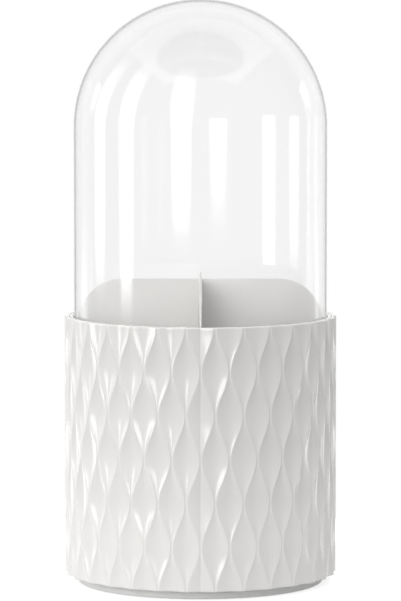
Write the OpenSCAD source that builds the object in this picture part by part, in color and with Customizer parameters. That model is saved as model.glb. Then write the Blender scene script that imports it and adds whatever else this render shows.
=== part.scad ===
// Rotating makeup organizer: a scooped white cup on a ball turntable,
// with a cross divider that lifts out and a clear domed dust cover.
// Millimetres. The origin is the centre of the underside, +Z is up, -Y is the front.

/* [Sleeve] */
// Radius over the ridges of the textured sleeve
ridge_r = 58; // [52:0.5:66]
// Height of the sleeve from its lower edge to the rim
sleeve_h = 110.2; // [80:0.2:140]
// Gap between the table and the sleeve's lower edge
sleeve_lift = 4; // [3.6:0.1:5]
// Scoops in one row round the sleeve
scoop_count = 30; // [24:1:36]
// Rows of scoops up the sleeve, in each of the two staggered sets
row_count = 3; // [2:1:4]
// Depth of a scoop at its middle
scoop_depth = 1.3; // [0.8:0.1:1.8]
// Width of a scoop where it pinches to a narrow groove
pinch_w = 1; // [0.5:0.1:1.2]
// Power by which a scoop's depth follows its width; below 1 it stays deep towards the pinch
depth_power = 0.65; // [0.5:0.05:1]
// Sleeve wall behind the deepest point of a scoop
sleeve_wall = 0.8; // [0.8:0.1:1.6]
// Thickness of the lip under the inner cup's skirt
lip_t = 1.2; // [0.8:0.1:1.6]
// How far that lip reaches in from the sleeve's bore
lip_w = 2.3; // [1.8:0.1:3]
// Levels of points in one row of scoops
row_levels = 10; // [6:2:12]

/* [Inner cup] */
// Gap between the inner cup and the sleeve that it slides into
sleeve_gap = 0.1; // [0.05:0.05:0.2]
// Wall of the pocket that takes the dust cover
pocket_wall = 1.55; // [1.2:0.05:2]
// Depth of that pocket below the rim
pocket_d = 8.9; // [6:0.1:14]
// Width of the ledge that the dust cover stands on
ledge_w = 1.35; // [1.2:0.05:2]
// Lead-in chamfer at the mouth of the pocket
lead_in = 0.5; // [0.2:0.1:1]
// Wall of the cup below the ledge
cup_wall = 1.6; // [1.2:0.1:2.4]
// Thickness of the cup's floor
floor_t = 3; // [2.4:0.1:4]
// Radius where the floor meets the wall
floor_fillet = 3; // [1:0.5:4]
// Height of the band that backs the sleeve at the rim, below the ledge
top_band = 3; // [2:0.5:8]
// Height of the band that backs the sleeve above the floor
low_band = 3; // [1:0.5:8]

/* [Divider] */
// Thickness of a divider panel
panel_t = 1; // [0.8:0.1:1.6]
// Height of the panels above the rim
panel_rise = 15.7; // [10:0.1:30]
// Radius of a panel's top corners
panel_corner_r = 18.5; // [8:0.5:30]
// Radius of a panel's bottom corners
panel_foot_r = 5; // [4.5:0.5:8]
// Gap from a panel's edge to the narrower of the cup and the dust cover
panel_gap = 0.4; // [0.3:0.1:1]
// Gap on each side of a panel, in its guide and in the crossing slot
slot_gap = 0.2; // [0.1:0.05:0.4]
// Thickness of a guide rib on the cup's wall
rib_t = 1.2; // [0.8:0.1:2]
// How far a guide rib stands off the wall
rib_d = 3; // [2:0.1:5]
// Distance from the ledge down to the top of the guide ribs
rib_drop = 5.3; // [2:0.1:20]

/* [Dust cover] */
// Wall of the clear cover
dome_wall = 1.5; // [1:0.1:2]
// Gap between the cover and its pocket
dome_gap = 0.25; // [0.2:0.05:0.5]
// Height of the cover's straight side above the rim
dome_straight = 80.8; // [40:0.2:120]
// Radius of the gate mark on the crown
gate_r = 0.8; // [0.5:0.1:1.5]
// Height of the gate mark
gate_h = 0.3; // [0.2:0.1:0.5]
// Gap under a lift-out piece where it stands on its seat
seat_gap = 0.1; // [0.05:0.05:0.3]

/* [Turntable] */
// Gap round the foot inside the sleeve's lip
foot_gap = 1.2; // [0.8:0.1:1.6]
// Height of the foot's moulding
foot_h = 6.9; // [5.8:0.1:8]
// Thickness of the foot's web
web_t = 2.6; // [2:0.1:3]
// Thickness of the foot's outer wall
foot_wall = 2; // [1.2:0.1:3]
// Stiffening ribs under the foot
foot_ribs = 8; // [4:4:16]
// Thickness of a stiffening rib
foot_rib_t = 1.4; // [1:0.1:2.4]
// How far the stiffening ribs stop short of the foot's lower edge
foot_rib_up = 0.8; // [0.4:0.1:1.6]
// Diameter of a bearing ball
ball_d = 4; // [3.6:0.1:4.4]
// Number of bearing balls
ball_count = 16; // [8:1:24]
// Distance of the ball race in from the foot's edge
race_inset = 12.4; // [8:0.2:20]
// Running gap between a ball and its races
race_gap = 0.15; // [0.1:0.05:0.25]
// Space between the foot and the floor of the cup
bearing_space = 2; // [1.8:0.1:2.4]
// Width of the ball cage
cage_w = 7; // [6:0.5:9]
// Running gap above and below the cage
cage_gap = 0.4; // [0.3:0.05:0.5]
// Gap round a ball in its cage pocket
cage_play = 0.2; // [0.15:0.05:0.4]

/* [Pads] */
// Number of rubber pads under the foot
pad_count = 4; // [3:1:6]
// Radius of a pad
pad_r = 6; // [4:0.5:7]
// Distance of a pad's centre in from the foot's edge
pad_inset = 10.4; // [9.6:0.2:18]
// How far a pad stands below the foot
pad_proud = 0.3; // [0.2:0.1:1]
// Depth of the recess that a pad is stuck in
pad_sink = 0.7; // [0.3:0.1:0.8]
// Gap round a pad in its recess
pad_gap = 0.2; // [0.1:0.05:0.3]
// Wall round the recess
pad_wall = 1.2; // [0.8:0.1:2]
// Chamfer round the pad's lower face
pad_chamfer = 0.3; // [0.1:0.1:0.5]

/* [Pivot] */
// Radius of the cup's pivot boss
boss_r = 6; // [4.5:0.5:7]
// Running gap round the boss in the foot
boss_gap = 0.2; // [0.15:0.05:0.4]
// Running gap between the washer and the foot
washer_gap = 0.1; // [0.05:0.05:0.3]
// Radius of the retaining washer
washer_r = 10; // [8.5:0.5:12]
// Thickness of the washer
washer_t = 0.8; // [0.5:0.1:1]
// Radius of the pivot screw's shank
screw_r = 1.5; // [1.25:0.05:2]
// Gap round the shank in the washer and in the boss
screw_gap = 0.1; // [0.05:0.05:0.2]
// Length of the shank under the head
screw_l = 6; // [4:0.5:6.5]
// Radius of the screw's head
head_r = 3; // [2.6:0.1:3.5]
// Height of the screw's head
head_h = 1.8; // [1.4:0.1:2]
// Width of the cross recess in the head
recess_w = 0.8; // [0.5:0.1:1]
// Depth of the cross recess in the head
recess_d = 1; // [0.6:0.1:1.2]
// Space between the washer and the ring round it under the foot
hub_gap = 2; // [1:0.5:4]

/* [Hidden] */
$fn = 96;
// A cut runs this far past the face that it opens
over = 0.5;

pitch = 360 / scoop_count;
pinch_a = pinch_w / ridge_r * 90 / PI;
wide_a = pitch / 2 - pinch_a;
rim_z = sleeve_lift + sleeve_h;
sleeve_bore_r = ridge_r - scoop_depth - sleeve_wall;
lip_r = sleeve_bore_r - lip_w;
lip_z = sleeve_lift + lip_t;

cup_fit_r = sleeve_bore_r - sleeve_gap;
pocket_r = cup_fit_r - pocket_wall;
cup_in_r = pocket_r - ledge_w;
cup_out_r = cup_in_r + cup_wall;
ledge_z = rim_z - pocket_d;

foot_r = lip_r - foot_gap;
race_r = foot_r - race_inset;
pad_ring_r = foot_r - pad_inset;
foot_z = pad_proud;
foot_top = foot_z + foot_h;
web_z = foot_top - web_t;
floor_z = foot_top + bearing_space;
floor_top = floor_z + floor_t;
ball_z = foot_top + bearing_space / 2;
groove_r = ball_d / 2 + race_gap;

dome_r = pocket_r - dome_gap;
dome_in_r = dome_r - dome_wall;
dome_z = ledge_z + seat_gap;
dome_mid_z = rim_z + dome_straight;

panel_half = min(cup_in_r, dome_in_r) - panel_gap;
panel_z = floor_top + seat_gap;
panel_top = rim_z + panel_rise;
cross_z = (panel_z + panel_top) / 2;
slot_w = panel_t + 2 * slot_gap;

boss_z = web_z - washer_gap;
washer_z = boss_z - washer_t;
hub_r = washer_r + hub_gap;

PADS = [for (i = [1:pad_count]) str("foot_pad_", i)];
BALLS = [for (i = [1:ball_count]) str("bearing_ball_", i)];

// Half the angle of a scoop of the first set, at a share t of the sleeve's height
function half_angle(t) = pitch / 4 + (pitch / 4 - pinch_a) * cos(360 * row_count * t);

// Radius at the middle of a scoop that is this wide: deepest where it is widest
function scoop_r(a) = ridge_r - scoop_depth * pow(a / wide_a, depth_power);

// A point at an angle from the front
function around(a, r, z) = [r * sin(a), -r * cos(a), z];

// The four points of one pitch at a level: scoop, ridge, staggered scoop, ridge
function level_points(i, t) =
    let (a = half_angle(t), z = sleeve_lift + sleeve_h * t)
    [around(i * pitch, scoop_r(a), z),
     around(i * pitch + a, ridge_r, z),
     around((i + 0.5) * pitch, scoop_r(pitch / 2 - a), z),
     around((i + 1) * pitch - a, ridge_r, z)];

// A plain circle of as many points, for the bore
function plain_ring(r, z) = [for (k = [0:4 * scoop_count - 1]) around(k * pitch / 4, r, z)];

function sleeve_level(t) = [for (i = [0:scoop_count - 1]) each level_points(i, t)];

// Outside, an outer skin of scoops; inside, a plain bore with a lip at its foot.
// The rings close on themselves both ways, so the shape has no caps.
module textured_sleeve() {
    levels = row_count * row_levels;
    columns = 4 * scoop_count;
    rings = concat(
        [for (j = [0:levels]) sleeve_level(j / levels)],
        [plain_ring(sleeve_bore_r, rim_z), plain_ring(sleeve_bore_r, lip_z),
         plain_ring(lip_r, lip_z), plain_ring(lip_r, sleeve_lift)]);
    ring_count = len(rings);
    function at(j, k) = (j % ring_count) * columns + k % columns;
    faces = [for (j = [0:ring_count - 1], k = [0:columns - 1])
        each k % 2 == 0
            ? [[at(j, k), at(j + 1, k), at(j + 1, k + 1)], [at(j, k), at(j + 1, k + 1), at(j, k + 1)]]
            : [[at(j, k), at(j + 1, k), at(j, k + 1)], [at(j + 1, k), at(j + 1, k + 1), at(j, k + 1)]]];
    color("whitesmoke")
        polyhedron(points = [for (ring = rings) each ring], faces = faces, convexity = 6);
}

// Section of the cup: skirt, floor, wall, ledge and pocket
module cup_section() {
    fillet_r = cup_in_r - floor_fillet;
    fillet_z = floor_top + floor_fillet;
    fillet = [for (a = [0:15:90]) [fillet_r + floor_fillet * cos(a), fillet_z - floor_fillet * sin(a)]];
    polygon(concat(
        [[0, floor_z], [lip_r, floor_z], [lip_r, lip_z], [cup_fit_r, lip_z],
         [cup_fit_r, floor_top + low_band], [cup_out_r, floor_top + low_band],
         [cup_out_r, ledge_z - top_band], [cup_fit_r, ledge_z - top_band],
         [cup_fit_r, rim_z], [pocket_r + lead_in, rim_z], [pocket_r, rim_z - lead_in],
         [pocket_r, ledge_z], [cup_in_r, ledge_z]],
        fillet,
        [[0, floor_top]]));
}

// A ring-shaped groove for the balls, cut into the face at either side of them
module ball_race() {
    translate([0, 0, ball_z])
        rotate_extrude()
            translate([race_r, 0]) circle(r = groove_r, $fn = 48);
}

// Two ribs on the cup's wall that hold the edge of a divider panel between them
module guide_ribs() {
    for (side = [-1, 1])
        translate([cup_in_r - rib_d, side * (slot_w + rib_t) / 2 - rib_t / 2, floor_top - over])
            cube([rib_d + cup_wall / 2, rib_t, ledge_z - rib_drop - floor_top + over]);
}

module inner_cup() {
    color("white")
        difference() {
            union() {
                rotate_extrude() cup_section();
                translate([0, 0, boss_z]) cylinder(r = boss_r, h = floor_z - boss_z + over);
                for (a = [0:90:270]) rotate([0, 0, a]) guide_ribs();
            }
            ball_race();
            translate([0, 0, boss_z - over])
                cylinder(r = screw_r + screw_gap, h = screw_l - washer_t + 2 * over, $fn = 32);
        }
}

// Underside of the foot is open, with an outer wall, a hub ring and radial ribs
module base_plate() {
    color("gainsboro")
        difference() {
            union() {
                translate([0, 0, web_z]) cylinder(r = foot_r, h = web_t);
                translate([0, 0, foot_z])
                    difference() {
                        cylinder(r = foot_r, h = foot_h);
                        translate([0, 0, -over]) cylinder(r = foot_r - foot_wall, h = foot_h);
                    }
                translate([0, 0, foot_z + foot_rib_up])
                    difference() {
                        cylinder(r = hub_r + foot_rib_t, h = foot_h - foot_rib_up);
                        translate([0, 0, -over]) cylinder(r = hub_r, h = foot_h);
                    }
                for (i = [0:foot_ribs - 1])
                    rotate([0, 0, 360 / foot_ribs * i])
                        translate([hub_r + foot_rib_t / 2, -foot_rib_t / 2, foot_z + foot_rib_up])
                            cube([foot_r - foot_wall / 2 - hub_r - foot_rib_t / 2,
                                  foot_rib_t, foot_h - foot_rib_up - over]);
                for (i = [1:pad_count])
                    at_pad(i) translate([0, 0, foot_z])
                        cylinder(r = pad_r + pad_gap + pad_wall, h = foot_h - over, $fn = 48);
            }
            ball_race();
            translate([0, 0, web_z - over]) cylinder(r = boss_r + boss_gap, h = web_t + 2 * over);
            for (i = [1:pad_count])
                at_pad(i) translate([0, 0, foot_z - over])
                    cylinder(r = pad_r + pad_gap, h = pad_sink + over, $fn = 48);
        }
}

module at_pad(i) {
    rotate([0, 0, 360 / pad_count * (i - 0.5)]) translate([pad_ring_r, 0, 0]) children();
}

module foot_pad(i) {
    pad_h = pad_proud + pad_sink;
    color("dimgray")
        at_pad(i) {
            cylinder(r1 = pad_r - pad_chamfer, r2 = pad_r, h = pad_chamfer, $fn = 48);
            translate([0, 0, pad_chamfer]) cylinder(r = pad_r, h = pad_h - pad_chamfer, $fn = 48);
        }
}

module at_ball(i) {
    rotate([0, 0, 360 / ball_count * i]) translate([race_r, 0, ball_z]) children();
}

module bearing_ball(i) {
    color("silver") at_ball(i) sphere(d = ball_d, $fn = 32);
}

module ball_cage() {
    cage_h = bearing_space - 2 * cage_gap;
    color("ivory")
        difference() {
            translate([0, 0, ball_z - cage_h / 2]) cylinder(r = race_r + cage_w / 2, h = cage_h);
            translate([0, 0, ball_z - cage_h / 2 - over])
                cylinder(r = race_r - cage_w / 2, h = cage_h + 2 * over);
            for (i = [1:ball_count])
                at_ball(i)
                    cylinder(d = ball_d + 2 * cage_play, h = cage_h + 2 * over, center = true, $fn = 32);
        }
}

module pivot_washer() {
    color("silver")
        translate([0, 0, washer_z])
            difference() {
                cylinder(r = washer_r, h = washer_t);
                translate([0, 0, -over]) cylinder(r = screw_r + screw_gap, h = washer_t + 2 * over, $fn = 32);
            }
}

// Pan-head screw, driven up into the boss from below
module pivot_screw() {
    head_z = washer_z - head_h;
    dome_cut_r = (head_r * head_r + head_h * head_h) / head_h;
    color("silver")
        difference() {
            union() {
                intersection() {
                    translate([0, 0, head_z]) cylinder(r = head_r, h = head_h, $fn = 48);
                    translate([0, 0, head_z + dome_cut_r]) sphere(r = dome_cut_r);
                }
                translate([0, 0, washer_z - over]) cylinder(r = screw_r, h = screw_l + over, $fn = 32);
            }
            for (a = [0, 90])
                rotate([0, 0, a])
                    translate([-head_r / 2, -recess_w / 2, head_z - over])
                        cube([head_r, recess_w, recess_d + over]);
        }
}

// Panel outline, standing on its foot corners with large round shoulders
module panel_outline() {
    shoulder = panel_half - panel_corner_r;
    instep = panel_half - panel_foot_r;
    translate([-panel_half, panel_z + panel_foot_r])
        square([2 * panel_half, panel_top - panel_corner_r - panel_z - panel_foot_r]);
    translate([-shoulder, panel_top - panel_corner_r - over])
        square([2 * shoulder, panel_corner_r + over]);
    translate([-instep, panel_z])
        square([2 * instep, panel_foot_r + over]);
    for (side = [-1, 1]) {
        translate([side * shoulder, panel_top - panel_corner_r]) circle(r = panel_corner_r);
        translate([side * instep, panel_z + panel_foot_r]) circle(r = panel_foot_r);
    }
}

// One flat panel with a slot to its middle, from the top or from the foot
module divider_panel(slot_z, slot_end) {
    rotate([90, 0, 0])
        translate([0, 0, -panel_t / 2])
            linear_extrude(height = panel_t)
                difference() {
                    panel_outline();
                    translate([-slot_w / 2, slot_z]) square([slot_w, slot_end - slot_z]);
                }
}

module divider_panel_wide() {
    color("white") divider_panel(cross_z - slot_gap, panel_top + over);
}

module divider_panel_deep() {
    color("white") rotate([0, 0, 90]) divider_panel(panel_z - over, cross_z + slot_gap);
}

// A straight wall with a half sphere on it
module dome_form(r, z) {
    translate([0, 0, z]) cylinder(r = r, h = dome_mid_z - z);
    translate([0, 0, dome_mid_z]) sphere(r = r);
}

module dome_cover() {
    color("lightcyan", 0.4)
        union() {
            difference() {
                dome_form(dome_r, dome_z);
                dome_form(dome_in_r, dome_z - over);
            }
            translate([0, 0, dome_mid_z + dome_r - dome_wall / 2])
                cylinder(r = gate_r, h = dome_wall / 2 + gate_h, $fn = 24);
        }
}

base_plate();
ball_cage();
inner_cup();
textured_sleeve();
pivot_washer();
pivot_screw();
divider_panel_wide();
divider_panel_deep();
dome_cover();
for (i = [1:pad_count]) foot_pad(i);
for (i = [1:ball_count]) bearing_ball(i);
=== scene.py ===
from math import cos, hypot, pi, radians, sin, tau

import bpy
import numpy as np
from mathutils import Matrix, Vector


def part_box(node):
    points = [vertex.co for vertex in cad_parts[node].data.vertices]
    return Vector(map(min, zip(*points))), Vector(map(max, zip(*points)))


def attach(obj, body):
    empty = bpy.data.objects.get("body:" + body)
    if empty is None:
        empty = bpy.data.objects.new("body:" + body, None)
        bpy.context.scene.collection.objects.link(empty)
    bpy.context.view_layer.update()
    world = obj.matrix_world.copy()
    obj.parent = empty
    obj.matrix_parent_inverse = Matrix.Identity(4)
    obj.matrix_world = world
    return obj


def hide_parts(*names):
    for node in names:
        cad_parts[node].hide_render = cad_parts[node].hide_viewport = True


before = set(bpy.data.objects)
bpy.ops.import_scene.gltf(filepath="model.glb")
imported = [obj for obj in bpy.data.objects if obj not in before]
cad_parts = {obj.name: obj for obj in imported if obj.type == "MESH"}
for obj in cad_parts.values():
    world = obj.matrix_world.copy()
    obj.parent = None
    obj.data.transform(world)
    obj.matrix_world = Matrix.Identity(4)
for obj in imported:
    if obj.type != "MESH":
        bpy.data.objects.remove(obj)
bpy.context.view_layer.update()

# Foot
# A ribbed disc moulded in one shot of off-white ABS, in a mould with a fine eroded texture, so it
# looks matt. It carries the lower ball race, and only its outer edge shows under the cup.
mm = 0.001
foot_low, foot_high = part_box("base_plate")
foot_r = foot_high.x
foot_wall = 2 * mm
foot_edge = 0.5 * mm
moulded_edge = 0.25 * mm
web_low = foot_high.z - 2.6 * mm
hub_r = 12 * mm
boss_hole_r = 6.2 * mm
rib_count = 8
rib_thick = 1.4 * mm
rib_low = foot_low.z + 0.8 * mm
rib_high = foot_high.z - 1 * mm
pad_count = 4
pad_seat_r = 7.4 * mm
pad_recess_r = 6.2 * mm
# Both races follow one circle, centred between foot and cup, which meets their flats at the lips
race_r = 40 * mm
race_z = 8.2 * mm
race_groove_r = 2.15 * mm
race_lip = radians(-27.7)
race_arc = radians(124.6)
race_steps = 10
turned_steps = 192
same_place = 0.01 * mm
merge_gap = 0.001 * mm


def select_only(piece):
    """Makes the piece active and selects nothing else."""
    bpy.ops.object.select_all(action="DESELECT")
    bpy.context.view_layer.objects.active = piece
    piece.select_set(True)


def name_new(name):
    """Names the primitive that was just added."""
    piece = bpy.context.object
    piece.name = piece.data.name = name
    return piece


def pick(piece, kind, wanted):
    """Goes into edit mode with only those vertices, edges or polygons selected that are wanted."""
    bpy.ops.object.mode_set(mode="OBJECT")
    select_only(piece)
    bpy.ops.object.mode_set(mode="EDIT")
    bpy.context.tool_settings.mesh_select_mode = [kind == k for k in ("vertices", "edges", "polygons")]
    bpy.ops.mesh.select_all(action="DESELECT")
    bpy.ops.object.mode_set(mode="OBJECT")
    for part in getattr(piece.data, kind):
        part.select = bool(wanted(part))
    bpy.ops.object.mode_set(mode="EDIT")


def pick_all(piece):
    """Goes into edit mode with the whole mesh selected."""
    pick(piece, "vertices", lambda v: True)


def draw_section(name, corners, closed=True):
    """Draws the section of a turned piece with one point, which is extruded from corner to corner."""
    bpy.ops.object.select_all(action="DESELECT")
    bpy.ops.mesh.primitive_plane_add(size=mm)
    section = name_new(name)
    bpy.ops.object.mode_set(mode="EDIT")
    bpy.context.tool_settings.mesh_select_mode = (True, False, False)
    bpy.ops.mesh.merge(type="CENTER")
    bpy.ops.transform.translate(value=(corners[0][0], 0, corners[0][1]))
    next_corners = corners[1:] + corners[:1] if closed else corners[1:]
    for (x, z), (next_x, next_z) in zip(corners, next_corners):
        bpy.ops.mesh.extrude_region_move(TRANSFORM_OT_translate={"value": (next_x - x, 0, next_z - z)})
    bpy.ops.mesh.select_all(action="SELECT")
    bpy.ops.mesh.remove_doubles(threshold=merge_gap)
    bpy.ops.object.mode_set(mode="OBJECT")
    return section


def round_corners(section, corners, radius):
    """Rounds the section at these corners."""
    places = [Vector((x, 0, z)) for x, z in corners]
    pick(section, "vertices", lambda v: any((v.co - place).length < same_place for place in places))
    bpy.ops.mesh.bevel(offset=radius, segments=4, affect="VERTICES")
    bpy.ops.object.mode_set(mode="OBJECT")


def turn_round(section):
    """Spins the section once round the axis and closes it on itself, with its faces pointing out."""
    pick_all(section)
    bpy.ops.mesh.spin(steps=turned_steps, angle=tau, center=(0, 0, 0), axis=(0, 0, 1))
    bpy.ops.mesh.select_all(action="SELECT")
    bpy.ops.mesh.remove_doubles(threshold=merge_gap)
    bpy.ops.mesh.normals_make_consistent(inside=False)
    bpy.ops.object.mode_set(mode="OBJECT")


race_turns = [race_lip - race_arc * i / race_steps for i in range(race_steps + 1)]
foot_race = [(race_r + race_groove_r * cos(a), race_z + race_groove_r * sin(a)) for a in race_turns]
hub_corners = [(hub_r, rib_low), (hub_r + rib_thick, rib_low)]
rim_corners = [(foot_r, foot_low.z), (foot_r, foot_high.z)]
rim_inner_corner = (foot_r - foot_wall, foot_low.z)
web_corners = [(hub_r, web_low), (hub_r + rib_thick, web_low), (foot_r - foot_wall, web_low)]
foot = draw_section("foot_moulding", [
    (boss_hole_r, web_low), web_corners[0], *hub_corners, *web_corners[1:],
    rim_inner_corner, *rim_corners, *foot_race, (boss_hole_r, foot_high.z)])
round_corners(foot, hub_corners + web_corners + [rim_inner_corner], moulded_edge)
round_corners(foot, rim_corners, foot_edge)
turn_round(foot)


def add_block(name, low, high):
    """A block between two corners."""
    bpy.ops.object.select_all(action="DESELECT")
    low, high = Vector(low), Vector(high)
    bpy.ops.mesh.primitive_cube_add(size=1, location=(low + high) / 2)
    block = name_new(name)
    block.scale = high - low
    bpy.ops.object.transform_apply()
    return block


def add_disc(name, radius, low, high, x=0, y=0, steps=48):
    """An upright cylinder."""
    bpy.ops.object.select_all(action="DESELECT")
    bpy.ops.mesh.primitive_cylinder_add(
        vertices=steps, radius=radius, depth=high - low, location=(x, y, (low + high) / 2))
    disc = name_new(name)
    bpy.ops.object.transform_apply()
    return disc


def apply_modifier(piece, modifier):
    """Makes the modifier part of the piece's mesh."""
    select_only(piece)
    bpy.ops.object.modifier_apply(modifier=modifier.name)


def soften_edges(piece, width, angle=40):
    """Rounds every edge where faces meet at more than the angle."""
    modifier = piece.modifiers.new("edges", "BEVEL")
    modifier.width = width
    modifier.segments = 2
    modifier.limit_method = "ANGLE"
    modifier.angle_limit = radians(angle)
    apply_modifier(piece, modifier)


def repeat_round(piece, count):
    """Copies the whole mesh round the axis until there are as many as the count."""
    pick_all(piece)
    for _ in range(count - 1):
        bpy.ops.mesh.duplicate()
        bpy.ops.transform.rotate(value=tau / count, orient_axis="Z", center_override=(0, 0, 0))
    bpy.ops.object.mode_set(mode="OBJECT")


def combine(piece, tool, operation):
    """Joins the tool to the piece, or cuts it out, and clears the tool away."""
    modifier = piece.modifiers.new(operation, "BOOLEAN")
    modifier.object = tool
    modifier.operation = operation
    modifier.solver = "EXACT"
    apply_modifier(piece, modifier)
    bpy.data.objects.remove(tool)


def shade(piece, angle=35):
    """Smooth shading, with an edge left where faces meet at more than the angle."""
    select_only(piece)
    bpy.ops.object.shade_smooth_by_angle(angle=radians(angle))


foot_rib = add_block("foot_rib", (hub_r + rib_thick / 2, -rib_thick / 2, rib_low),
                     (foot_r - foot_wall / 2, rib_thick / 2, rib_high))
soften_edges(foot_rib, moulded_edge)
repeat_round(foot_rib, rib_count)
combine(foot, foot_rib, "UNION")
pad_low, pad_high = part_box("foot_pad_1")
pad_middle = (pad_low + pad_high) / 2
pad_seat = add_disc("pad_seat", pad_seat_r, foot_low.z, rib_high, pad_middle.x, pad_middle.y)
repeat_round(pad_seat, pad_count)
combine(foot, pad_seat, "UNION")
pad_recess = add_disc("pad_recess", pad_recess_r, pad_low.z, pad_high.z, pad_middle.x, pad_middle.y)
repeat_round(pad_recess, pad_count)
combine(foot, pad_recess, "DIFFERENCE")
shade(foot)

# The colour sockets of a Mix node go by number
mix_a, mix_b, mixed = 6, 7, 2


def linear(hex_colour):
    """An sRGB hex colour as the linear RGBA that the shaders take."""
    parts = [int(hex_colour[i:i + 2], 16) / 255 for i in (0, 2, 4)]
    return [c / 12.92 if c <= 0.04045 else ((c + 0.055) / 1.055) ** 2.4 for c in parts] + [1]


def add_node(owner, kind, feeds, **settings):
    """Adds a node; feeds gives its inputs a value or another node's output."""
    node = owner.node_tree.nodes.new(kind)
    for name, value in settings.items():
        setattr(node, name, value)
    for socket, source in feeds.items():
        if isinstance(source, bpy.types.NodeSocket):
            owner.node_tree.links.new(source, node.inputs[socket])
        else:
            node.inputs[socket].default_value = source
    return node


def new_material(name):
    """An empty material and the place on the object that its patterns are drawn by."""
    material = bpy.data.materials.new(name)
    material.use_nodes = True
    material.node_tree.nodes.clear()
    return material, add_node(material, "ShaderNodeTexCoord", {}).outputs["Object"]


def finish_material(material, shader, volume=None):
    """Leads the shader, and what fills the piece, to the material's output."""
    output = add_node(material, "ShaderNodeOutputMaterial", {"Surface": shader.outputs[0]})
    if volume:
        material.node_tree.links.new(volume.outputs["Volume"], output.inputs["Volume"])


def dress(piece, material, body):
    """Gives a new piece its material and body."""
    piece.data.materials.clear()
    piece.data.materials.append(material)
    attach(piece, body)


# Eroded-texture ABS is matt, because the mould's grains of 0.3 mm scatter the light. The plastic
# flowed in from the middle, and left faint lighter and darker marks some 14 mm wide.
textured_abs, place = new_material("eroded_texture_abs")
grain = add_node(textured_abs, "ShaderNodeTexNoise", {
    "Vector": place, "Scale": 1 / (0.3 * mm), "Detail": 3})
flow = add_node(textured_abs, "ShaderNodeTexNoise", {
    "Vector": place, "Scale": 1 / (14 * mm), "Detail": 2})
tone = add_node(textured_abs, "ShaderNodeMix", {
    "Factor": flow.outputs["Fac"], mix_a: linear("EFEFED"), mix_b: linear("F4F4F2")}, data_type="RGBA")
relief = add_node(textured_abs, "ShaderNodeBump", {
    "Strength": 0.4, "Distance": 0.03 * mm, "Height": grain.outputs["Fac"]})
gloss = add_node(textured_abs, "ShaderNodeMapRange", {
    "Value": grain.outputs["Fac"], "To Min": 0.46, "To Max": 0.6})
finish_material(textured_abs, add_node(textured_abs, "ShaderNodeBsdfPrincipled", {
    "Base Color": tone.outputs[mixed], "Roughness": gloss.outputs["Result"],
    "Normal": relief.outputs["Normal"], "IOR": 1.54}))
dress(foot, textured_abs, "foot")
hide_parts("base_plate")

# Pads
# Four discs of black nitrile rubber, cut from sheet and stuck in the foot's recesses, which keep
# the organizer from sliding. Their lower rim is rounded by wear.
pad_r = (pad_high.x - pad_low.x) / 2
pad_edge = 0.3 * mm
pad_inset = 0.6 * mm
level_face = 0.99
pad = add_disc("rubber_pad_1", pad_r, pad_low.z, pad_high.z, pad_middle.x, pad_middle.y)
pick(pad, "polygons", lambda p: p.normal.z < -level_face)
bpy.ops.mesh.bevel(offset=pad_edge, segments=3, affect="EDGES")
bpy.ops.object.mode_set(mode="OBJECT")
pick(pad, "polygons", lambda p: abs(p.normal.z) > level_face)
bpy.ops.mesh.inset(thickness=pad_inset)
bpy.ops.object.mode_set(mode="OBJECT")
shade(pad)


def copy_piece(piece, name):
    """A copy with a mesh of its own."""
    copy = piece.copy()
    copy.data = piece.data.copy()
    copy.name = copy.data.name = name
    bpy.context.collection.objects.link(copy)
    return copy


# Nitrile rubber is dull and nearly black, under a grey bloom in patches of 2.5 mm
nitrile, place = new_material("black_nitrile_rubber")
bloom = add_node(nitrile, "ShaderNodeTexNoise", {"Vector": place, "Scale": 1 / (2.5 * mm), "Detail": 4})
tone = add_node(nitrile, "ShaderNodeMix", {
    "Factor": bloom.outputs["Fac"], mix_a: linear("1E1E1F"), mix_b: linear("343436")}, data_type="RGBA")
relief = add_node(nitrile, "ShaderNodeBump", {
    "Strength": 0.5, "Distance": 0.05 * mm, "Height": bloom.outputs["Fac"]})
finish_material(nitrile, add_node(nitrile, "ShaderNodeBsdfPrincipled", {
    "Base Color": tone.outputs[mixed], "Roughness": 0.75,
    "Normal": relief.outputs["Normal"], "IOR": 1.52}))

pads = [pad] + [copy_piece(pad, f"rubber_pad_{i}") for i in range(2, pad_count + 1)]
for i, piece in enumerate(pads, 1):
    low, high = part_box(f"foot_pad_{i}")
    pick_all(piece)
    bpy.ops.transform.translate(value=(low + high) / 2 - pad_middle)
    bpy.ops.object.mode_set(mode="OBJECT")
    dress(piece, nitrile, "foot")
    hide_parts(f"foot_pad_{i}")

# Ball ring
# Sixteen bearing balls in a flat cage between foot and cup, which let the cup spin. The cage is
# stamped from natural nylon sheet and the balls are hardened chrome steel, ground and polished.
ball_count = 16


def coat(node_name, material):
    """Gives a CAD node its material."""
    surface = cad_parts[node_name].data.materials
    surface.clear()
    surface.append(material)


# Undyed nylon is milky, with a waxy skin that lets some light in. The skin's waves are drawn
# 1.1 mm wide, coarser than real.
nylon, place = new_material("natural_nylon_sheet")
skin = add_node(nylon, "ShaderNodeTexNoise", {"Vector": place, "Scale": 1 / (1.1 * mm), "Detail": 3})
tone = add_node(nylon, "ShaderNodeMix", {
    "Factor": skin.outputs["Fac"], mix_a: linear("DDD6C4"), mix_b: linear("EAE4D6")}, data_type="RGBA")
relief = add_node(nylon, "ShaderNodeBump", {
    "Strength": 0.3, "Distance": 0.03 * mm, "Height": skin.outputs["Fac"]})
finish_material(nylon, add_node(nylon, "ShaderNodeBsdfPrincipled", {
    "Base Color": tone.outputs[mixed], "Roughness": 0.5, "Subsurface Weight": 0.1,
    "Subsurface Radius": (1 * mm, 1 * mm, 0.8 * mm), "Normal": relief.outputs["Normal"], "IOR": 1.53}))
coat("ball_cage", nylon)

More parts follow.
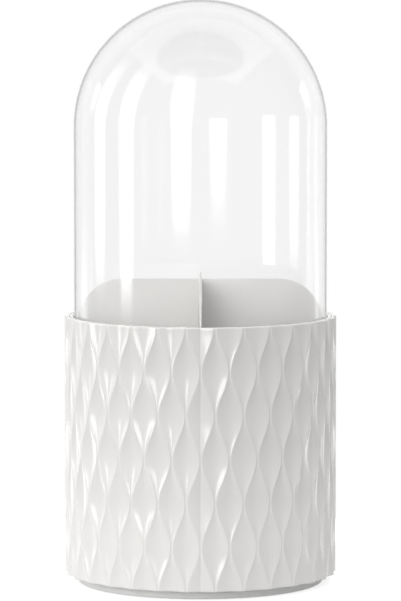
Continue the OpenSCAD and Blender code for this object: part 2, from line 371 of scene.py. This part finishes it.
# Polished steel mirrors what is round it through a faint haze. Its patches are drawn 0.7 mm wide,
# far coarser than the marks of real polishing.
ball_steel, place = new_material("polished_bearing_steel")
haze = add_node(ball_steel, "ShaderNodeTexNoise", {"Vector": place, "Scale": 1 / (0.7 * mm), "Detail": 2})
tone = add_node(ball_steel, "ShaderNodeMix", {
    "Factor": haze.outputs["Fac"], mix_a: linear("C2C3C5"), mix_b: linear("D3D3D4")}, data_type="RGBA")
gloss = add_node(ball_steel, "ShaderNodeMapRange", {
    "Value": haze.outputs["Fac"], "To Min": 0.08, "To Max": 0.16})
finish_material(ball_steel, add_node(ball_steel, "ShaderNodeBsdfPrincipled", {
    "Base Color": tone.outputs[mixed], "Metallic": 1, "Roughness": gloss.outputs["Result"]}))
for i in range(1, ball_count + 1):
    coat(f"bearing_ball_{i}", ball_steel)

# Pivot
# A steel washer and a pan-head screw, driven up into the cup's boss, hold the foot on. The washer
# is stamped and the screw rolled, and then both are plated with zinc.

# Bright zinc has a bluish sheen that is never quite even. Its clouds are 1.7 mm wide, coarser
# than a real plating's.
zinc, place = new_material("bright_zinc_plating")
cloud = add_node(zinc, "ShaderNodeTexNoise", {"Vector": place, "Scale": 1 / (1.7 * mm), "Detail": 4})
tone = add_node(zinc, "ShaderNodeMix", {
    "Factor": cloud.outputs["Fac"], mix_a: linear("A9AEB3"), mix_b: linear("C6C9CB")}, data_type="RGBA")
gloss = add_node(zinc, "ShaderNodeMapRange", {
    "Value": cloud.outputs["Fac"], "To Min": 0.22, "To Max": 0.4})
finish_material(zinc, add_node(zinc, "ShaderNodeBsdfPrincipled", {
    "Base Color": tone.outputs[mixed], "Metallic": 1, "Roughness": gloss.outputs["Result"]}))
coat("pivot_washer", zinc)
coat("pivot_screw", zinc)

# Inner cup
# The plain cup that lines the sleeve: a glossy white ABS moulding, slid into it from above. It has
# the pocket and ledge for the cover, ribs that guide the divider, and the upper race.
cup_low, cup_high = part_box("inner_cup")
rim_z = cup_high.z
cup_fit_r = cup_high.x
cup_in_r = 52.9 * mm
cup_wall = 1.6 * mm
cup_floor_low = 9.2 * mm
cup_floor = 12.2 * mm
floor_fillet = 3 * mm
# Only a band at the bottom and one at the top are as wide as the sleeve's bore
band_low = 15.2 * mm
band_high = 102.3 * mm
lip_top = 5.2 * mm
skirt_r = 53.6 * mm
pocket_r = 54.25 * mm
ledge_z = 105.3 * mm
lead_in = 0.5 * mm
rim_edge = 0.3 * mm
boss_r = 6 * mm
boss_low = cup_low.z
screw_hole_r = 1.6 * mm
screw_hole_top = 10.2 * mm
guide_count = 4
guide_front = 3 * mm
guide_face = 1.2 * mm
guide_top = 100 * mm
slot_wide = 1.4 * mm

cup_race = [(x, 2 * race_z - z) for x, z in foot_race]
floor_corner = (cup_in_r, cup_floor)
ledge_corner = (cup_in_r, ledge_z)
cup_rim_corners = [(cup_fit_r, rim_z), (pocket_r + lead_in, rim_z), (pocket_r, rim_z - lead_in)]
cup = draw_section("inner_cup_moulding", [
    (0, screw_hole_top), (screw_hole_r, screw_hole_top), (screw_hole_r, boss_low), (boss_r, boss_low),
    (boss_r, cup_floor_low), *reversed(cup_race), (skirt_r, cup_floor_low), (skirt_r, lip_top),
    (cup_fit_r, lip_top), (cup_fit_r, band_low), (cup_in_r + cup_wall, band_low),
    (cup_in_r + cup_wall, band_high), (cup_fit_r, band_high), *cup_rim_corners,
    (pocket_r, ledge_z), ledge_corner, floor_corner, (0, cup_floor)], closed=False)
round_corners(cup, [floor_corner], floor_fillet)
round_corners(cup, [ledge_corner, *cup_rim_corners], rim_edge)
turn_round(cup)

# A slot for the divider is two ribs, one on each side of it
guide = add_block("guide_rib", (cup_in_r - guide_front, slot_wide / 2, cup_floor - moulded_edge),
                  (cup_in_r + cup_wall / 2, slot_wide / 2 + guide_face, guide_top))
soften_edges(guide, moulded_edge)
pick_all(guide)
bpy.ops.mesh.duplicate()
bpy.ops.transform.translate(value=(0, -slot_wide - guide_face, 0))
repeat_round(guide, guide_count)
combine(cup, guide, "UNION")
shade(cup)

# Polished steel moulds leave ABS glossy, with a faint orange peel some 4 mm wide. What varies its
# gloss and tone a little is drawn 1.1 mm wide, coarser than real.
gloss_abs, place = new_material("glossy_white_abs")
peel = add_node(gloss_abs, "ShaderNodeTexNoise", {"Vector": place, "Scale": 1 / (4 * mm), "Detail": 1})
skin = add_node(gloss_abs, "ShaderNodeTexNoise", {"Vector": place, "Scale": 1 / (1.11 * mm), "Detail": 3})
tone = add_node(gloss_abs, "ShaderNodeMix", {
    "Factor": skin.outputs["Fac"], mix_a: linear("E0DFDD"), mix_b: linear("E2E1DF")}, data_type="RGBA")
relief = add_node(gloss_abs, "ShaderNodeBump", {
    "Strength": 0.1, "Distance": 0.05 * mm, "Height": peel.outputs["Fac"]})
gloss = add_node(gloss_abs, "ShaderNodeMapRange", {
    "Value": skin.outputs["Fac"], "To Min": 0.1, "To Max": 0.16})
finish_material(gloss_abs, add_node(gloss_abs, "ShaderNodeBsdfPrincipled", {
    "Base Color": tone.outputs[mixed], "Roughness": gloss.outputs["Result"],
    "Normal": relief.outputs["Normal"], "IOR": 1.58}))
dress(cup, gloss_abs, "cup")
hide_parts("inner_cup")

# Sleeve
# The outer sleeve that gives the organizer its look: glossy white ABS, moulded in a cavity cut
# with thirty columns of spoon-shaped scoops, and thirty more between them that are staggered by
# half a scoop. It turns with the cup that sits in it.
sleeve_low, sleeve_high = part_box("textured_sleeve")
low, high = sleeve_low.z, sleeve_high.z
sleeve_bore_r = 55.9 * mm
sleeve_edge = 0.3 * mm
rim_steps = 3
quarter_turn = [pi / 2 * step / rim_steps for step in range(rim_steps + 1)]
ridge_r = 58 * mm
ridge_round = 0.13 * mm
scoop_count = 30
scoop_rows = 3
scoop_depth = 1.3 * mm
pitch = tau / scoop_count
pinch_wide = 1 * mm
pinch = pinch_wide / ridge_r / 2
levels = 96
# A scoop is shallower where it is narrower, by this power of its width
depth_power = 0.65
# Power of the curve across a scoop: a straight V has 1, a parabola has 2
round_power = 1.8
crease_power = 1
# Points across a scoop, closer at its ridges. A parted scoop has a crease where the mould parts,
# so it has close points there too.
across = [-1, -0.96, -0.9, -0.78, -0.55, -0.28, 0, 0.28, 0.55, 0.78, 0.9, 0.96]
across_parted = [-1, -0.96, -0.9, -0.75, -0.4, -0.03, 0, 0.03, 0.4, 0.75, 0.9, 0.96]


def relief_row(share):
    """Angle and radius of the points round the sleeve, at this share of its height.

    Half the columns are at their widest where those between them are pinched.
    """
    even_wide = pitch / 4 + (pitch / 4 - pinch) * cos(tau * scoop_rows * share)
    angles, radii = [], []
    for column in range(2 * scoop_count):
        wide = even_wide if column % 2 == 0 else pitch / 2 - even_wide
        deep = scoop_depth * (wide / (pitch / 2 - pinch)) ** depth_power
        parted = column in (0, scoop_count)
        power = crease_power if parted else round_power
        for s in across_parted if parted else across:
            angles.append(column * pitch / 2 + s * wide)
            radii.append(ridge_r + ridge_round - hypot(deep * (1 - abs(s) ** power), ridge_round))
    return np.array(angles), np.array(radii)


# The outside from the lower to the upper rim, each rounded, and then the bore down to the start
rows = []
foot_angles, foot_radii = relief_row(0)
for turn in quarter_turn:
    rows.append((foot_angles, foot_radii - sleeve_edge * (1 - sin(turn)),
                 low + sleeve_edge * (1 - cos(turn))))
for level in range(1, levels):
    rows.append((*relief_row(level / levels), low + (high - low) * level / levels))
rim_angles, rim_radii = relief_row(1)
for turn in quarter_turn:
    rows.append((rim_angles, rim_radii - sleeve_edge * (1 - cos(turn)),
                 high - sleeve_edge * (1 - sin(turn))))
plain_ring = np.ones(len(foot_angles))
for r, z in ((sleeve_bore_r + sleeve_edge, high), (sleeve_bore_r, high - sleeve_edge),
             (sleeve_bore_r, lip_top), (skirt_r, lip_top), (skirt_r, low)):
    rows.append((foot_angles, r * plain_ring, z))

# A flat grid is rolled into the sleeve, with its points put round it in order, and closed where
# its sides meet
bpy.ops.object.select_all(action="DESELECT")
bpy.ops.mesh.primitive_grid_add(x_subdivisions=len(plain_ring), y_subdivisions=len(rows), size=1)
sleeve = name_new("scooped_sleeve")
order = np.arange(len(plain_ring) + 1) % len(plain_ring)
points = [np.stack([r[order] * np.sin(a[order]), -r[order] * np.cos(a[order]),
                    np.full(len(order), z)], axis=1) for a, r, z in rows + rows[:1]]
sleeve.data.vertices.foreach_set("co", np.concatenate(points).ravel())
pick_all(sleeve)
bpy.ops.mesh.remove_doubles(threshold=merge_gap)
bpy.ops.mesh.normals_make_consistent(inside=False)
bpy.ops.object.mode_set(mode="OBJECT")
shade(sleeve, angle=60)
dress(sleeve, gloss_abs, "cup")
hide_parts("textured_sleeve")

# Divider
# Two flat panels of white polystyrene, slotted half way so that they cross, which stand in the
# cup's ribs and part it in four. They are injection moulded, with satin faces.
panel_low, panel_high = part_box("divider_panel_wide")
panel_corner = 18.5 * mm
panel_foot_corner = 5 * mm
panel_edge = 0.15 * mm
cross_z = (panel_low.z + panel_high.z) / 2
cross_gap = 0.2 * mm
past_edge = 1 * mm


def round_panel_corners(panel, z, radius, segments):
    """Rounds the panel's two corners at this height."""
    def runs_through(edge):
        start, end = (panel.data.vertices[i].co for i in edge.vertices)
        return abs(start.y - end.y) > same_place and abs(start.z - z) < same_place

    pick(panel, "edges", runs_through)
    bpy.ops.mesh.bevel(offset=radius, segments=segments, affect="EDGES")
    bpy.ops.object.mode_set(mode="OBJECT")


wide_panel = add_block("divider_panel_1", panel_low, panel_high)
round_panel_corners(wide_panel, panel_high.z, panel_corner, segments=32)
round_panel_corners(wide_panel, panel_low.z, panel_foot_corner, segments=12)
deep_panel = copy_piece(wide_panel, "divider_panel_2")
pick_all(deep_panel)
bpy.ops.transform.rotate(value=pi / 2, orient_axis="Z", center_override=(0, 0, 0))
bpy.ops.object.mode_set(mode="OBJECT")
for panel, slot_low, slot_high in ((wide_panel, cross_z - cross_gap, panel_high.z + past_edge),
                                   (deep_panel, panel_low.z - past_edge, cross_z + cross_gap)):
    combine(panel, add_block("panel_slot", (-slot_wide / 2, -slot_wide / 2, slot_low),
                             (slot_wide / 2, slot_wide / 2, slot_high)), "DIFFERENCE")
    soften_edges(panel, panel_edge)
    shade(panel)

# Polystyrene from a mould that was blasted with grit is satin, and a greyer white than the cup's
# ABS. The grit's grain is drawn 0.83 mm wide, coarser than real, and flow marks are 29 mm wide.
satin, place = new_material("satin_white_polystyrene")
grain = add_node(satin, "ShaderNodeTexNoise", {"Vector": place, "Scale": 1 / (0.83 * mm), "Detail": 3})
flow = add_node(satin, "ShaderNodeTexNoise", {"Vector": place, "Scale": 1 / (29 * mm), "Detail": 2})
tone = add_node(satin, "ShaderNodeMix", {
    "Factor": flow.outputs["Fac"], mix_a: linear("D3D2D0"), mix_b: linear("DAD9D7")}, data_type="RGBA")
relief = add_node(satin, "ShaderNodeBump", {
    "Strength": 0.2, "Distance": 0.03 * mm, "Height": grain.outputs["Fac"]})
gloss = add_node(satin, "ShaderNodeMapRange", {
    "Value": grain.outputs["Fac"], "To Min": 0.34, "To Max": 0.46})
finish_material(satin, add_node(satin, "ShaderNodeBsdfPrincipled", {
    "Base Color": tone.outputs[mixed], "Roughness": gloss.outputs["Result"],
    "Normal": relief.outputs["Normal"], "IOR": 1.59}))
dress(wide_panel, satin, "divider")
dress(deep_panel, satin, "divider")
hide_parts("divider_panel_wide")
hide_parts("divider_panel_deep")

# Dust cover
# A clear cover in one piece, injection moulded in polystyrene: a straight wall with a half sphere
# on it. It stands in the cup's pocket, and the mark on its crown is where the plastic went in.
dome_low, dome_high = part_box("dome_cover")
dome_r = dome_high.x
dome_wall = 1.5 * mm
gate_high = 0.3 * mm
gate_r = 0.8 * mm
gate_edge = 0.1 * mm
dome_mid_z = dome_high.z - gate_high - dome_r
# Shares of the straight wall's height. The last is short, so that the wall is shaded straight
# down to its rim.
wall_shares = (0.5, 0.49, 0.01)
bpy.ops.object.select_all(action="DESELECT")
bpy.ops.mesh.primitive_uv_sphere_add(
    segments=turned_steps, ring_count=turned_steps // 2, radius=dome_r, location=(0, 0, dome_mid_z))
dome = name_new("clear_cover")
bpy.ops.object.transform_apply()
pick(dome, "vertices", lambda v: v.co.z < dome_mid_z - same_place)
bpy.ops.mesh.delete(type="VERT")
bpy.ops.object.mode_set(mode="OBJECT")
pick(dome, "edges", lambda e: all(
    abs(dome.data.vertices[i].co.z - dome_mid_z) < same_place for i in e.vertices))
for share in wall_shares:
    bpy.ops.mesh.extrude_region_move(
        TRANSFORM_OT_translate={"value": (0, 0, (dome_low.z - dome_mid_z) * share)})
bpy.ops.mesh.select_all(action="SELECT")
bpy.ops.mesh.normals_make_consistent(inside=False)
bpy.ops.object.mode_set(mode="OBJECT")
wall = dome.modifiers.new("wall", "SOLIDIFY")
wall.thickness = dome_wall
wall.offset = -1
wall.use_even_offset = True
apply_modifier(dome, wall)
gate = add_disc("gate_mark", gate_r, dome_high.z - gate_high - dome_wall / 2, dome_high.z, steps=32)
soften_edges(gate, gate_edge)
combine(dome, gate, "UNION")
shade(dome)

# Undyed polystyrene is as clear as glass and bends light nearly as glass does, but greys it a
# little along the wall. The mould's polish leaves slow waves some 17 mm wide in its mirror.
clear, place = new_material("clear_polystyrene")
swirl = add_node(clear, "ShaderNodeTexNoise", {"Vector": place, "Scale": 1 / (16.7 * mm), "Detail": 1})
relief = add_node(clear, "ShaderNodeBump", {
    "Strength": 0.05, "Distance": 0.05 * mm, "Height": swirl.outputs["Fac"]})
gloss = add_node(clear, "ShaderNodeMapRange", {
    "Value": swirl.outputs["Fac"], "To Min": 0.03, "To Max": 0.06})
surface = add_node(clear, "ShaderNodeBsdfPrincipled", {
    "Base Color": linear("FFFFFF"), "Transmission Weight": 1, "Roughness": gloss.outputs["Result"],
    "Normal": relief.outputs["Normal"], "IOR": 1.59})
inside = add_node(clear, "ShaderNodeVolumeAbsorption", {"Color": linear("BCBCBC"), "Density": 25})
finish_material(clear, surface, inside)
# Clear plastic casts hardly a shadow, and a render without caustics would draw a solid one
dome.visible_shadow = False
dress(dome, clear, "dome")
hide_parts("dome_cover")

# Studio
# A plain table and backdrop, which stay white to the camera, so that only the object's shadow
# shows on them. Tall softboxes stand at the left and in front, two small low ones behind.
table_side = 0.36
table_glow = 0.75
bpy.ops.object.select_all(action="DESELECT")
bpy.ops.mesh.primitive_plane_add(size=table_side)
table = name_new("white_table")

# Matt paint has no shine and keeps the shadow soft. It is a light grey to the lamps and glows for
# what sees it, which makes it white. The roller's marks are 3.3 mm wide.
table_paint, place = new_material("matt_white_table_paint")
fleck = add_node(table_paint, "ShaderNodeTexNoise", {
    "Vector": place, "Scale": 1 / (3.33 * mm), "Detail": 2})
tone = add_node(table_paint, "ShaderNodeMix", {
    "Factor": fleck.outputs["Fac"], mix_a: linear("B2B2B2"), mix_b: linear("B6B6B6")}, data_type="RGBA")
lit = add_node(table_paint, "ShaderNodeBsdfPrincipled", {
    "Base Color": tone.outputs[mixed], "Roughness": 0.9, "Specular IOR Level": 0})
rays = add_node(table_paint, "ShaderNodeLightPath", {})
seen = add_node(table_paint, "ShaderNodeMath", {
    0: rays.outputs["Is Camera Ray"], 1: rays.outputs["Is Glossy Ray"]}, operation="ADD")
seen = add_node(table_paint, "ShaderNodeMath", {
    0: seen.outputs["Value"], 1: rays.outputs["Is Transmission Ray"]}, operation="ADD", use_clamp=True)
glow = add_node(table_paint, "ShaderNodeMath", {
    0: seen.outputs["Value"], 1: table_glow}, operation="MULTIPLY")
white = add_node(table_paint, "ShaderNodeEmission", {
    "Color": linear("FFFFFF"), "Strength": glow.outputs["Value"]})
finish_material(table_paint, add_node(table_paint, "ShaderNodeAddShader", {
    0: lit.outputs["BSDF"], 1: white.outputs["Emission"]}))
table.data.materials.append(table_paint)

# The room lights the object more from above than from below. What is glossy or clear sees the
# white backdrop instead, with a ring of grey 11 to 25 degrees off its middle, which draws the
# clear cover's outline, and a light grey room from the sides round to the camera. Each way is
# the part of a direction that points up, or to the backdrop's middle.
floor_light, ceiling_light = 0.08, 1.4
floor_way = -0.35
room_light, ring_light, backdrop_light = 0.7, 0.57, 1
room_way, backdrop_way = 0.3, 0.75
ring_way, ring_half = 0.945, 0.035
world = bpy.data.worlds.new("studio")
bpy.context.scene.world = world
world.use_nodes = True
world.node_tree.nodes.clear()
outwards = add_node(world, "ShaderNodeTexCoord", {}).outputs["Generated"]
way = add_node(world, "ShaderNodeSeparateXYZ", {"Vector": outwards})
room = add_node(world, "ShaderNodeMapRange", {
    "Value": way.outputs["Z"], "From Min": floor_way, "To Min": floor_light, "To Max": ceiling_light})
backdrop = add_node(world, "ShaderNodeMapRange", {
    "Value": way.outputs["Y"], "From Min": room_way, "From Max": backdrop_way,
    "To Min": room_light, "To Max": backdrop_light}, interpolation_type="SMOOTHSTEP")
past_ring = add_node(world, "ShaderNodeMath", {0: way.outputs["Y"], 1: ring_way}, operation="SUBTRACT")
off_ring = add_node(world, "ShaderNodeMath", {0: past_ring.outputs["Value"]}, operation="ABSOLUTE")
ring = add_node(world, "ShaderNodeMapRange", {
    "Value": off_ring.outputs["Value"], "From Max": ring_half, "To Min": ring_light},
    interpolation_type="SMOOTHSTEP")
mirrored = add_node(world, "ShaderNodeMath", {
    0: backdrop.outputs["Result"], 1: ring.outputs["Result"]}, operation="MULTIPLY")
rays = add_node(world, "ShaderNodeLightPath", {})
seen = add_node(world, "ShaderNodeMath", {
    0: rays.outputs["Is Glossy Ray"], 1: rays.outputs["Is Transmission Ray"]},
    operation="ADD", use_clamp=True)
level = add_node(world, "ShaderNodeMapRange", {
    "Value": seen.outputs["Value"], "To Min": room.outputs["Result"], "To Max": mirrored.outputs["Value"]})
level = add_node(world, "ShaderNodeMapRange", {
    "Value": rays.outputs["Is Camera Ray"], "To Min": level.outputs["Result"], "To Max": backdrop_light})
sky = add_node(world, "ShaderNodeBackground", {
    "Color": linear("FFFFFF"), "Strength": level.outputs["Result"]})
add_node(world, "ShaderNodeOutputWorld", {"Surface": sky.outputs["Background"]})

lamp_distance = 1.5
lamp_aim = Vector((0, 0, 0.12))
# Shares of a softbox's width and height over which it fades to its sides, its foot and its head
side_fade, foot_fade, head_fade = 0.3, 0.05, 0.8


def add_softbox(name, turn, rise, wide, tall, watts):
    """A softbox that faces the object, turned round from the front and raised by these degrees."""
    lamp = bpy.data.lights.new(name, "AREA")
    lamp.shape = "RECTANGLE"
    lamp.size, lamp.size_y, lamp.energy = wide, tall, watts
    lamp.use_nodes = True
    lamp.node_tree.nodes.clear()
    spot = add_node(lamp, "ShaderNodeNewGeometry", {}).outputs["Parametric"]
    spot = add_node(lamp, "ShaderNodeSeparateXYZ", {"Vector": spot})
    from_side = add_node(lamp, "ShaderNodeMath", {0: spot.outputs["X"], 1: 0.5}, operation="PINGPONG")
    fade = add_node(lamp, "ShaderNodeMapRange", {
        "Value": from_side.outputs["Value"], "From Max": side_fade}, interpolation_type="SMOOTHSTEP")
    for dark, full in ((0, foot_fade), (1, 1 - head_fade)):
        end = add_node(lamp, "ShaderNodeMapRange", {
            "Value": spot.outputs["Y"], "From Min": dark, "From Max": full},
            interpolation_type="SMOOTHSTEP")
        fade = add_node(lamp, "ShaderNodeMath", {
            0: fade.outputs[0], 1: end.outputs["Result"]}, operation="MULTIPLY")
    glow = add_node(lamp, "ShaderNodeEmission", {"Strength": fade.outputs["Value"]})
    add_node(lamp, "ShaderNodeOutputLight", {"Surface": glow.outputs["Emission"]})
    holder = bpy.data.objects.new(name, lamp)
    bpy.context.collection.objects.link(holder)
    turn, rise = radians(turn), radians(rise)
    away = Vector((sin(turn) * cos(rise), -cos(turn) * cos(rise), sin(rise)))
    holder.location = lamp_aim + away * lamp_distance
    holder.rotation_euler = away.to_track_quat("Z", "Y").to_euler()


add_softbox("window_softbox", turn=-70, rise=24.5, wide=0.52, tall=1.75, watts=13.2)
add_softbox("side_softbox", turn=-103, rise=23, wide=0.52, tall=1.6, watts=6)
add_softbox("strip_softbox", turn=-17, rise=29, wide=0.62, tall=1.9, watts=17.5)
add_softbox("left_rim_softbox", turn=-131, rise=-9, wide=0.5, tall=0.4, watts=1.4)
add_softbox("right_rim_softbox", turn=131, rise=-9, wide=0.3, tall=0.4, watts=0.9)

# The camera's distance, height and tilt were fitted to the photograph's proportions
view_distance = 1.636
view_drop = radians(5.122)
view_height = 0.1205
focal_pixels, photo_pixels_high = 3830, 601
sensor_high = 36
camera = bpy.data.cameras.new("camera")
camera.sensor_fit = "VERTICAL"
camera.sensor_height = sensor_high
camera.lens = focal_pixels / photo_pixels_high * sensor_high
camera_holder = bpy.data.objects.new("camera", camera)
camera_holder.location = (0, -view_distance * cos(view_drop), view_height + view_distance * sin(view_drop))
camera_holder.rotation_euler = (pi / 2 - view_drop, 0, 0)
bpy.context.collection.objects.link(camera_holder)
bpy.context.scene.camera = camera_holder
bpy.context.scene.view_settings.view_transform = "Standard"
